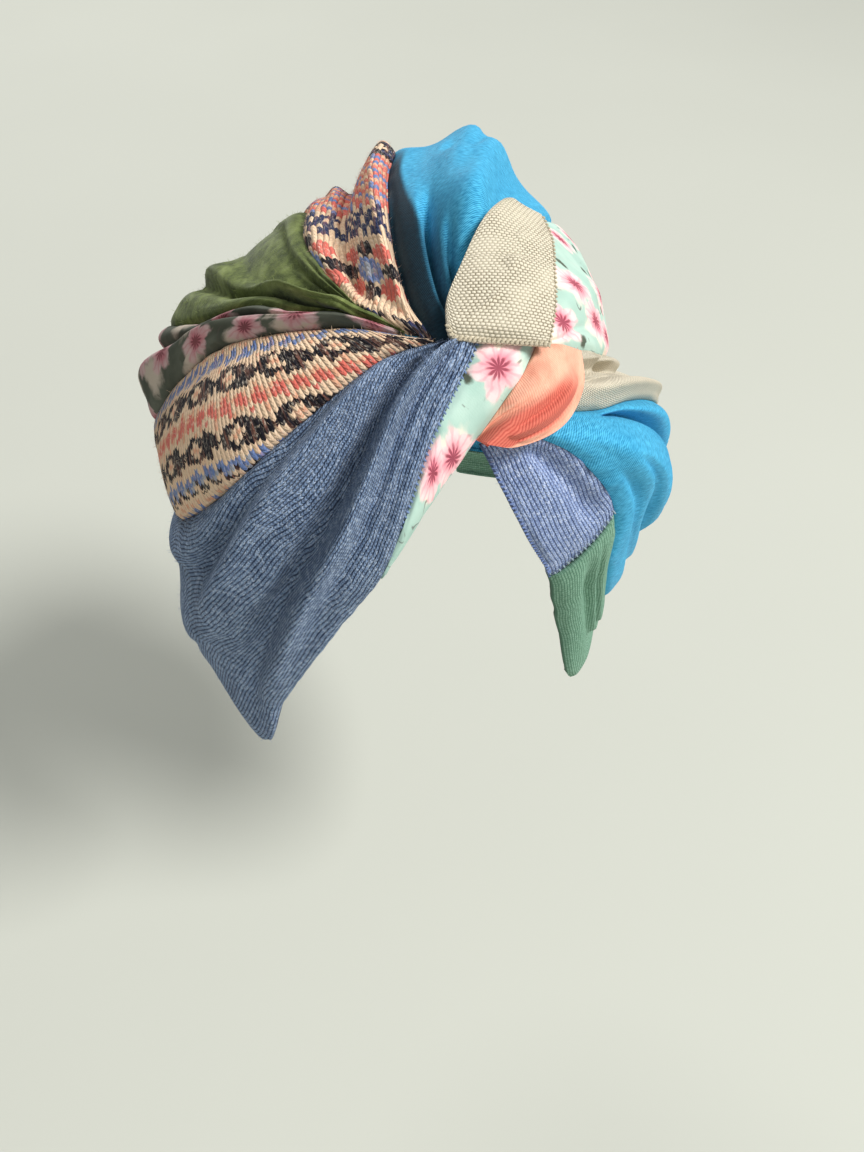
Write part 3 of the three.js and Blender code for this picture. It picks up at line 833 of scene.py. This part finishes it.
def floral(name, ground, ground_deep, shift=(0, 0), streaks=0.0, dim=0.0):
    kit = Kit(name)
    uv, along, across = kit.cloth()
    soft = kit.noise(uv, 60.0, 3.0)
    wobble = kit.noise(uv, 300.0, 3.0)
    wash = kit.noise(uv, 170.0, 3.0)
    tone = kit.mix(kit.step_ramp(soft, 0.35, 0.7), ground_deep, ground)
    line = kit.noise(kit.vector(along * 0.2, across), 110.0, 2.0)
    tone = kit.tint(tone, line, 0.56, 0.7, streaks, rgb(238, 152, 164))
    cream, _, _ = blossom(kit, uv, 27 * MM, 9 * MM, 4, (9, 4))
    tone = kit.mix((1.0 - kit.step_ramp(cream + wobble * 0.7, 0.8, 1.4)) * 0.9, tone, rgb(250, 232, 212))
    twig = (kit.noise(kit.vector(along * 1.4, across), 55.0, 1.0) - 0.5).abs()
    grows = kit.step_ramp(wash, 0.5, 0.6)
    tone = kit.mix((1.0 - kit.step_ramp(twig, 0.004, 0.012)) * grows * 0.7, tone, rgb(96, 88, 84))
    leaf, _, _ = blossom(kit, uv, 19 * MM, 3.6 * MM, 2, (shift[0] + 11, shift[1] + 7))
    leaf_tone = kit.mix(wash, rgb(48, 56, 50), rgb(110, 118, 100))
    tone = kit.mix(1.0 - kit.step_ramp(leaf + wobble * 0.8, 0.8, 1.15), tone, leaf_tone)
    reach, radius, angle = blossom(kit, uv, 24 * MM, 8.4 * MM, 5, shift)
    petal = 1.0 - kit.step_ramp(reach + wobble * 0.6, 1.1, 1.4)
    outer = kit.step_ramp(radius + wash * 0.9 - 0.3, 0.25, 1.0)
    pink = kit.mix(outer, rgb(236, 128, 148), rgb(252, 214, 212))
    veins = (angle * 12.0 + wash * 9.0).sine()
    pink = kit.tint(pink, veins, 0.2, 1.0, 0.35, rgb(226, 120, 138))
    tone = kit.mix(petal * 0.95, tone, pink)
    rays = (angle * 5.5 + wobble * 3.0).sine().abs()
    heart = 1.0 - kit.step_ramp(radius - rays * 0.3 + wobble * 0.4, 0.18, 0.42)
    tone = kit.mix(heart * 0.9, tone, kit.mix(wash, rgb(104, 34, 52), rgb(170, 82, 96)))
    # Painted shade: dim mixes the whole print a share toward dark grey-brown
    if dim:
        tone = kit.mix(dim, tone, rgb(70, 66, 58))
    height = (along / (0.8 * MM)).fract() + kit.noise(uv, 1500.0, 2.0)
    return kit.finish(tone, height, strength=0.3, depth=0.15)


# Knitted colour charts, a letter a stitch and a text a row
YARNS = {
    "c": rgb(236, 204, 170), "p": rgb(230, 172, 138), "k": rgb(28, 27, 34), "n": rgb(44, 54, 88),
    "b": rgb(112, 134, 182), "r": rgb(222, 112, 98), "g": rgb(164, 168, 178),
}
BAND_CHART = [
    "cccccccccccc", "cpccppccpccp", "cccbccccbccb", "bccbbcbcbbcb", "bbcbbbbcbgbb", "gbccgbcccgbc",
    "cccccccpcccc", "kkkkkkkcccck", "kkkcckkkckkk", "kkcppckkkkkk", "kkkcckkkckkk", "kkkkkkkcccck",
    "ccccpccccpcc", "prpcprpcprpc", "rrrprrrprrrp", "rrrcrrrprrrc", "cpccrcccpccr", "cccpccccpccc",
    "kkkkkkkcccck", "kkkcckkkckkk", "kkcppckkkkkk", "kkkcckkkckkk", "kkkkkkkcccck",
    "cccccccccccc", "bcbccbcbcbcc", "bbbgbbbgbbbg", "gbkcgbkcgbkc", "kkckkkckkkck",
]
ROSETTE_CHART = [
    "kckkknkckkkkk", "cccknkccckknn", "kcknkkkcknkkk", "kkkkknkkkkknk", "nkkcknnkkcknk", "kkccckkkccckk",
    "nkkcknnkkcknk", "ccccccccccccc", "cpcccpcccpccc",
    "cccccckkccccc", "ccrrckkkcrrcc", "crrrrkkkrrrrc", "crrrrckcrrrrc", "ccrrcbbbcrrcc", "kkkcbbgbbckkk",
    "kkkkbgggbkkkk", "kkkcbbgbbckkk", "ccrrcbbbcrrcc", "crrrrckcrrrrc", "crrrrkkkrrrrc", "ccrrckkkcrrcc",
    "ccccckkcccccc", "ccccccccccccc",
    "ncnncncnnncnn", "ncnncncnnncnn", "nnncnnnncnnnc", "cnnnncnnncnnc", "cncnncncnncnc", "nnnncnnncnnnc",
    "cncccnccnccnc",
    "rbcrpbrcbrprc", "rpbrprrpbrprr", "prcbpprrbpcrr", "brpprbcrpprbb", "rbbrprrbbrprr", "prbpcprpbppcp",
    "rpprbrrpprbrr", "pbrcppbrrppbr", "brpprbbrcprbb", "rbcrprrbbrprr", "prbppcprbpprp", "rpprbrrppcbrr",
    "pbrrppbrrppbr", "brcprbbrpprbb", "rbbrprcbbrprr", "prbpprprbpcrp", "kkkkkkkkkkkkk", "nknnknnknnknn",
]


def chart_row(kit, column, letters):
    """The yarn of each column of a chart's row, in runs of one yarn."""
    count = len(letters)
    tone = YARNS[letters[0]]
    for k in range(1, count):
        if letters[k] != letters[k - 1]:
            tone = kit.mix(column.above(k - 0.5), tone, YARNS[letters[k]])
    return tone


def chart_knit(name, chart, stitch, row_height, turned, shift=(0, 0), jag=1.2):
    """A chart knitted over the cloth, sizes in mm; jag is how many rows its edges wander."""
    kit = Kit(name)
    _, along, across = kit.cloth()
    if turned:
        along, across = across, along
    place = along / (stitch * MM) + shift[0]
    from_middle = (place.fract() - 0.5).abs() * 2.0
    level = across / (row_height * MM) + from_middle * 0.55 + shift[1]
    column = place.floor()
    drift = (kit.random(column, (level / 7.0).floor()) - 0.5) * jag
    rows = len(chart)
    columns = len(chart[0])
    row = (((level + drift) / rows).fract() * rows).floor()
    step = (column / columns).fract() * columns
    tone = YARNS["c"]
    for k, letters in enumerate(chart):
        tone = kit.mix((row - k).abs().below(0.5), tone, chart_row(kit, step, letters))
    each = kit.random(column, level.floor())
    fibre = kit.noise(kit.vector(along, across * 0.3), 2200.0, 2.0)
    height = (1.0 - from_middle * from_middle) * (level.hump() * 0.5 + 0.6)
    streak = kit.noise(kit.vector(place, level * 0.12), 1.3, 2.0)
    tone = kit.tint(tone, streak, 0.5, 0.75, 0.35, rgb(222, 150, 122))
    tone = kit.tint(tone, height + each * 0.25, 0.5, 0.05, 0.45, rgb(84, 66, 58))
    tone = kit.tint(tone, fibre + each * 0.2, 0.62, 0.9, 0.45, rgb(252, 236, 214))
    return kit.finish(tone, height + fibre * 0.35, strength=0.9, depth=0.6)


materials = {
    "left_wing_knit": heather_knit(
        "denim_heather_knit", rgb(44, 58, 84), rgb(140, 164, 198), rgb(204, 216, 232), 1.5, 1.15,
    ),
    "left_wing_floral_strip": floral("mint_floral_jersey", rgb(190, 216, 202), rgb(168, 200, 186), (4, 2)),
    "left_fairisle_panel": chart_knit("band_patterned_knit", BAND_CHART, 1.7, 1.7, False),
    # The roll's darker ground colours and its dim share of 0.5 are painted shade over a greyish floral cloth
    "left_floral_roll": floral("grey_floral_jersey_with_painted_shade", rgb(112, 120, 106), rgb(70, 80, 68), (3, 8), 0.0, 0.5),
    "green_roll": olive_cloth(),
    "top_fairisle_fold": chart_knit("rosette_patterned_knit", ROSETTE_CHART, 2.1, 1.42, True, (-1.6, 4), 0.5),
    "blue_cap": blue_twill("blue_twill_pleat_shadow_painted", True),
    "right_floral_panel": floral(
        "mint_floral_jersey_right", rgb(190, 214, 200), rgb(170, 200, 186), (0, 0), 0.5,
    ),
    "right_beige_panel": beige_weave("beige_fine_weave", 1.0, 0.5),
    "right_blue_wing": blue_twill("blue_twill", False),
    "right_inner_knit": heather_knit(
        "periwinkle_heather_knit", rgb(88, 104, 146), rgb(166, 186, 226), rgb(220, 228, 246), 1.4, 1.2,
    ),
    "right_green_jersey": jersey("green_jersey", rgb(84, 126, 102), rgb(152, 190, 166), 1.1),
    "knot_loop": coral_twill(),
    "beige_lapel": beige_weave("beige_coarse_weave"),
}


# Threads laid by Geometry Nodes

class Threads(Tree):
    """A Geometry Nodes tree with named number inputs."""

    def __init__(self, name, inputs):
        self.name = name
        self.tree = bpy.data.node_groups.new(name, "GeometryNodeTree")
        face = self.tree.interface
        for way in ("INPUT", "OUTPUT"):
            face.new_socket("Geometry", in_out=way, socket_type="NodeSocketGeometry")
        self.ids = {}
        for label in inputs:
            made = face.new_socket(label, in_out="INPUT", socket_type="NodeSocketFloat")
            self.ids[label] = made.identifier
        self.given = self.tree.nodes.new("NodeGroupInput")

    def size(self, label):
        return Value(self, self.given.outputs[label])

    def lay(self, points, shape, way, length, material):
        """One shape at every point, turned along a way, as the tree's result."""
        radius = self.size("Radius")
        turn = self.node("FunctionNodeAlignRotationToVector", {"axis": "Z"}, {"Vector": way})
        laid = self.node("GeometryNodeInstanceOnPoints", {}, {
            "Points": points, "Instance": shape, "Rotation": turn,
            "Scale": self.vector(radius, radius, length),
        })
        whole = self.node("GeometryNodeRealizeInstances", {}, {"Geometry": laid})
        whole = self.node("GeometryNodeSetMaterial", {}, {"Geometry": whole, "Material": material})
        self.node("NodeGroupOutput", {}, {"Geometry": whole})
        return self

    def run_on(self, piece, sizes):
        """Runs the tree on a piece and leaves its result as the piece's plain mesh."""
        modifier = piece.modifiers.new(self.name, "NODES")
        modifier.node_group = self.tree
        for label, size in sizes.items():
            modifier[self.ids[label]] = size
        seen = piece.evaluated_get(bpy.context.evaluated_depsgraph_get())
        made = bpy.data.meshes.new_from_object(seen)
        piece.modifiers.remove(modifier)
        piece.data = made
        return piece


def thread_material(name, colour):
    kit = Kit(name)
    twist = kit.noise(kit.node("ShaderNodeTexCoord", output="Object"), 1800.0, 2.0)
    darker = tuple(part * 0.6 for part in colour[:3]) + (1.0,)
    return kit.finish(kit.mix(twist, darker, colour), twist, strength=0.3, depth=0.1)


def stitch_tree(name, material):
    """Short threads across a seam: a mesh line with the attribute face_way goes in."""
    kit = Threads(name, ["Spacing", "Length", "Radius", "Slant"])
    line = kit.node("GeometryNodeMeshToCurve", {}, {"Mesh": kit.size("Geometry")})
    sockets = {"Curve": line, "Length": kit.size("Spacing")}
    points = kit.node("GeometryNodeResampleCurve", {"mode": "LENGTH"}, sockets)
    thread = kit.node("GeometryNodeMeshUVSphere", {}, {"Segments": 6, "Rings": 4, "Radius": 1.0})
    settings = {"data_type": "FLOAT_VECTOR"}
    face = kit.node("GeometryNodeInputNamedAttribute", settings, {"Name": "face_way"})
    run = kit.node("GeometryNodeInputTangent")
    lean = kit.vector_math("SCALE", run, kit.size("Slant"))
    way = kit.vector_math("ADD", kit.vector_math("CROSS_PRODUCT", face, run), lean)
    return kit.lay(points, thread, way, kit.size("Length") * 0.5, material)


def fuzz_tree(name, material, seed):
    """Fine loose fibres over the outer face of a knit."""
    kit = Threads(name, ["Density", "Length", "Radius", "Spread"])
    place = kit.node("GeometryNodeInputPosition")
    from_middle = kit.vector_math("SUBTRACT", place, tuple(HEAD_CENTRE))
    facing = kit.vector_math("DOT_PRODUCT", kit.node("GeometryNodeInputNormal"), from_middle, "Value")
    spots = kit.node("GeometryNodeDistributePointsOnFaces", {"distribute_method": "RANDOM"}, {
        "Mesh": kit.size("Geometry"), "Selection": facing.above(0.0),
        "Density": kit.size("Density"), "Seed": seed,
    }, "Points")
    upright = Value(kit, spots.socket.node.outputs["Normal"])
    astray = kit.node("FunctionNodeRandomValue", {"data_type": "FLOAT_VECTOR"}, {
        "Min": (-1.0, -1.0, -1.0), "Max": (1.0, 1.0, 1.0), "Seed": seed + 1,
    }, "Value")
    way = kit.vector_math("ADD", upright, kit.vector_math("SCALE", astray, kit.size("Spread")))
    sizes = {"Vertices": 3, "Radius Top": 0.2, "Radius Bottom": 1.0, "Depth": 1.0}
    fibre = kit.node("GeometryNodeMeshCone", {}, sizes, "Mesh")
    return kit.lay(spots, fibre, way, kit.size("Length"), material)


def seam_line(name, points, ways):
    """A mesh line along a seam that keeps the way the cloth faces."""
    mesh = bpy.data.meshes.new(name)
    edges = [(k, k + 1) for k in range(len(points) - 1)]
    mesh.from_pydata(points.tolist(), edges, [])
    layer = mesh.attributes.new("face_way", "FLOAT_VECTOR", "POINT")
    layer.data.foreach_set("vector", ways.astype(np.float32).reshape(-1))
    line = bpy.data.objects.new(name, mesh)
    bpy.context.scene.collection.objects.link(line)
    return line


# Stitched seams: the piece, its row or column of the cloth grid, the share of it that is stitched,
# thread colour, spacing, length, radius in mm, and slant
STITCHED = [
    ("left_wing_knit", "column", 1, (0.0, 0.22), rgb(126, 148, 188), 1.8, 1.8, 0.36, 0.5),
    ("right_inner_knit", "row", -2, (0.03, 0.97), rgb(170, 190, 200), 1.9, 3.4, 0.3, 0.3),
    ("right_inner_knit", "column", -2, (0.1, 1.0), rgb(120, 140, 186), 1.6, 1.8, 0.35, 0.5),
    ("beige_lapel", "row", 1, (0.02, 0.98), rgb(206, 194, 168), 1.3, 1.9, 0.5, 0.6),
    ("beige_lapel", "column", -2, (0.0, 0.96), rgb(206, 194, 168), 1.6, 1.2, 0.35, 0.8),
    ("right_floral_panel", "column", -2, (0.0, 0.2), rgb(214, 200, 186), 2.0, 1.6, 0.3, 0.3),
]
# Knits with fuzz: fibre colour and fibres per square metre, and the sizes of every fibre
FIBRE = {"Length": 1.6 * MM, "Radius": 0.05 * MM, "Spread": 1.1}
FUZZY = {
    "left_wing_knit": (rgb(150, 168, 200), 60000), "left_fairisle_panel": (rgb(236, 206, 176), 70000),
    "top_fairisle_fold": (rgb(226, 196, 180), 70000), "right_inner_knit": (rgb(190, 204, 236), 60000),
    "green_roll": (rgb(140, 152, 90), 50000),
}


def stitch_seams(name, outer, ways):
    """The stitches along a piece's stitched seams."""
    made = []
    for k, row in enumerate(entry for entry in STITCHED if entry[0] == name):
        _, kind, index, (first, last), colour, spacing, length, radius, slant = row
        grids = (outer, ways) if kind == "row" else (outer.swapaxes(0, 1), ways.swapaxes(0, 1))
        points, facing = (grid[index] for grid in grids)
        last_point = len(points) - 1
        part = slice(round(first * last_point), round(last * last_point) + 1)
        label = f"{name}_stitches_{k + 1}"
        line = seam_line(label, points[part] + facing[part] * THREAD_LIFT, facing[part])
        tree = stitch_tree(label, thread_material(label, colour))
        sizes = {"Spacing": spacing * MM, "Length": length * MM, "Radius": radius * MM, "Slant": slant}
        made.append(tree.run_on(line, sizes))
    return made


def add_fuzz(name, piece):
    """Loose fibres over a knit, as a piece of their own."""
    colour, density = FUZZY[name]
    label = f"{name}_fuzz"
    fuzz = bpy.data.objects.new(label, piece.data.copy())
    bpy.context.scene.collection.objects.link(fuzz)
    tree = fuzz_tree(label, thread_material(label, colour), len(name))
    return tree.run_on(fuzz, {"Density": density, **FIBRE})


# Pieces

def shade_side(piece, values):
    """Keeps a value for each point of the cloth's grid, outside and inside."""
    layer = piece.data.attributes.new("shade_side", "FLOAT", "POINT")
    both = np.concatenate([values.reshape(-1), values.reshape(-1)]).astype(np.float32)
    layer.data.foreach_set("value", both)


def shares(along, across):
    """Places along and across a grid, from 0 to 1."""
    return np.linspace(0, 1, along)[:, None], np.linspace(0, 1, across)[None, :]


def pleat_shadow_paint(along, across):
    """Painted shade on the cap, as a dark teal: the pleats in shadow beside the fold, and, at 0.7, the
    shadowed cloth next to them.
    """
    t, v = shares(along, across)
    limit = 0.29 - 0.15 * smoothstep(t, 0.33, 0.55)
    pleats = (1 - smoothstep(v - limit, -0.03, 0.02)) * (1 - smoothstep(t, 0.52, 0.62))
    beside = 0.7 * (1 - smoothstep(v, 0.4, 0.52)) * (1 - smoothstep(t, 0.26, 0.44))
    return np.maximum(pleats, beside)


def knot_shade(along, across):
    """How deep the coral of the knot is: a band between its crease and its rim."""
    t, v = shares(along, across)
    crease = 0.57 - 0.6 * t
    rim = 0.78 + 0.25 * smoothstep(t, 0.65, 0.95)
    band = smoothstep(v - crease, 0.02, 0.16) * (1 - smoothstep(v - rim, -0.05, 0.06))
    return band * (0.15 + 0.85 * smoothstep(t, 0.12, 0.35))


def points_for(strip):
    """Points along a strip, by the share of its seams that it takes."""
    (a0, a1), (b0, b1) = strip.get("span", WHOLE)
    share = SHORT_STRIP_SHARE if strip["seams"][0] == "strip_face" else max(a1 - a0, b1 - b0)
    return max(FEWEST_POINTS, round(LONG_POINTS * share))


def declare(name, made):
    """Rides on the root body with its threads and replaces its node."""
    piece, cloth, threads = made
    for thread in threads:
        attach(thread, "root")
    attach(piece, "root")
    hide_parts(name)


def make_strip(name):
    strip = STRIPS[name]
    along = points_for(strip)
    made = cloth_object(name, strip, *spread(strip, along, ACROSS_POINTS), materials[name])
    # The cap keeps its painted pleat shadow in the shade_side attribute
    if name == "blue_cap":
        shade_side(made[0], pleat_shadow_paint(along, ACROSS_POINTS))
    return made


def round_corners(ways, lifts, v):
    """Draws the left corners of the lapel in."""
    even = np.linspace(0, 1, len(lifts))
    low = CORNER_DRAW * np.clip(1 - v / LOW_CORNER, 0, 1) ** 2
    high = 1 - CORNER_DRAW * np.clip(1 - v / HIGH_CORNER, 0, 1) ** 2
    for j, (first, last) in enumerate(zip(low, high)):
        wanted = first + (last - first) * even
        lifts[:, j] = np.interp(wanted, even, lifts[:, j])
        for axis in range(3):
            ways[:, j, axis] = np.interp(wanted, even, ways[:, j, axis])
    return normalised(ways), lifts


def make_laid(name):
    strip = LAID[name]
    ways, lifts = spread(strip, *LAID_POINTS)
    laid = laid_under(ways) + CLOTH + LAY_GAP
    t, v = shares(*LAID_POINTS)
    if name == "knot_loop":
        hides = smoothstep(v, 0.1, 0.5)
        lifts = lifts * (1 - hides) + np.maximum(lifts, laid) * hides
    else:
        drop = (1 - smoothstep(t, 0, HEM_LENGTH)) * (1 - smoothstep(v, 0.5, 0.95))
        ways, lifts = round_corners(ways, laid + lifts - HEM_DROP * drop, v[0])
    made = cloth_object(name, strip, ways, lifts, materials[name])
    if name == "knot_loop":
        shade_side(made[0], knot_shade(*LAID_POINTS))
    return made


for piece_name in STRIPS:
    declare(piece_name, make_strip(piece_name))
for piece_name in LAID:
    declare(piece_name, make_laid(piece_name))


# Floor and lights

def make_floor():
    bpy.ops.mesh.primitive_plane_add(size=FLOOR_SIZE, location=(0, 0, FLOOR_HEIGHT))
    floor = bpy.context.object
    floor.name = "floor"
    kit = Kit("pale_floor")
    speck = kit.noise(kit.node("ShaderNodeTexCoord", output="Object"), 3.0, 2.0)
    tone = kit.mix(speck, rgb(187, 188, 177), rgb(192, 193, 182))
    shader = kit.node("ShaderNodeBsdfPrincipled", {}, {"Base Color": tone, "Roughness": 0.8})
    kit.node("ShaderNodeOutputMaterial", {}, {"Surface": shader})
    floor.data.materials.append(kit.material)


def make_light(name, place, size, power):
    data = bpy.data.lights.new(name, "AREA")
    data.shape = "DISK"
    data.size = size
    data.energy = power
    light = bpy.data.objects.new(name, data)
    light.location = place
    light.rotation_euler = (light.location - LIT_PLACE).to_track_quat("Z", "Y").to_euler()
    bpy.context.scene.collection.objects.link(light)


def make_world():
    world = bpy.data.worlds.new("studio")
    world.use_nodes = True
    background = world.node_tree.nodes["Background"]
    background.inputs["Color"].default_value = rgb(228, 232, 232)
    background.inputs["Strength"].default_value = WORLD_STRENGTH
    bpy.context.scene.world = world
    bpy.context.scene.view_settings.view_transform = "Standard"


make_floor()
for light_row in LIGHTS:
    make_light(*light_row)
make_world()
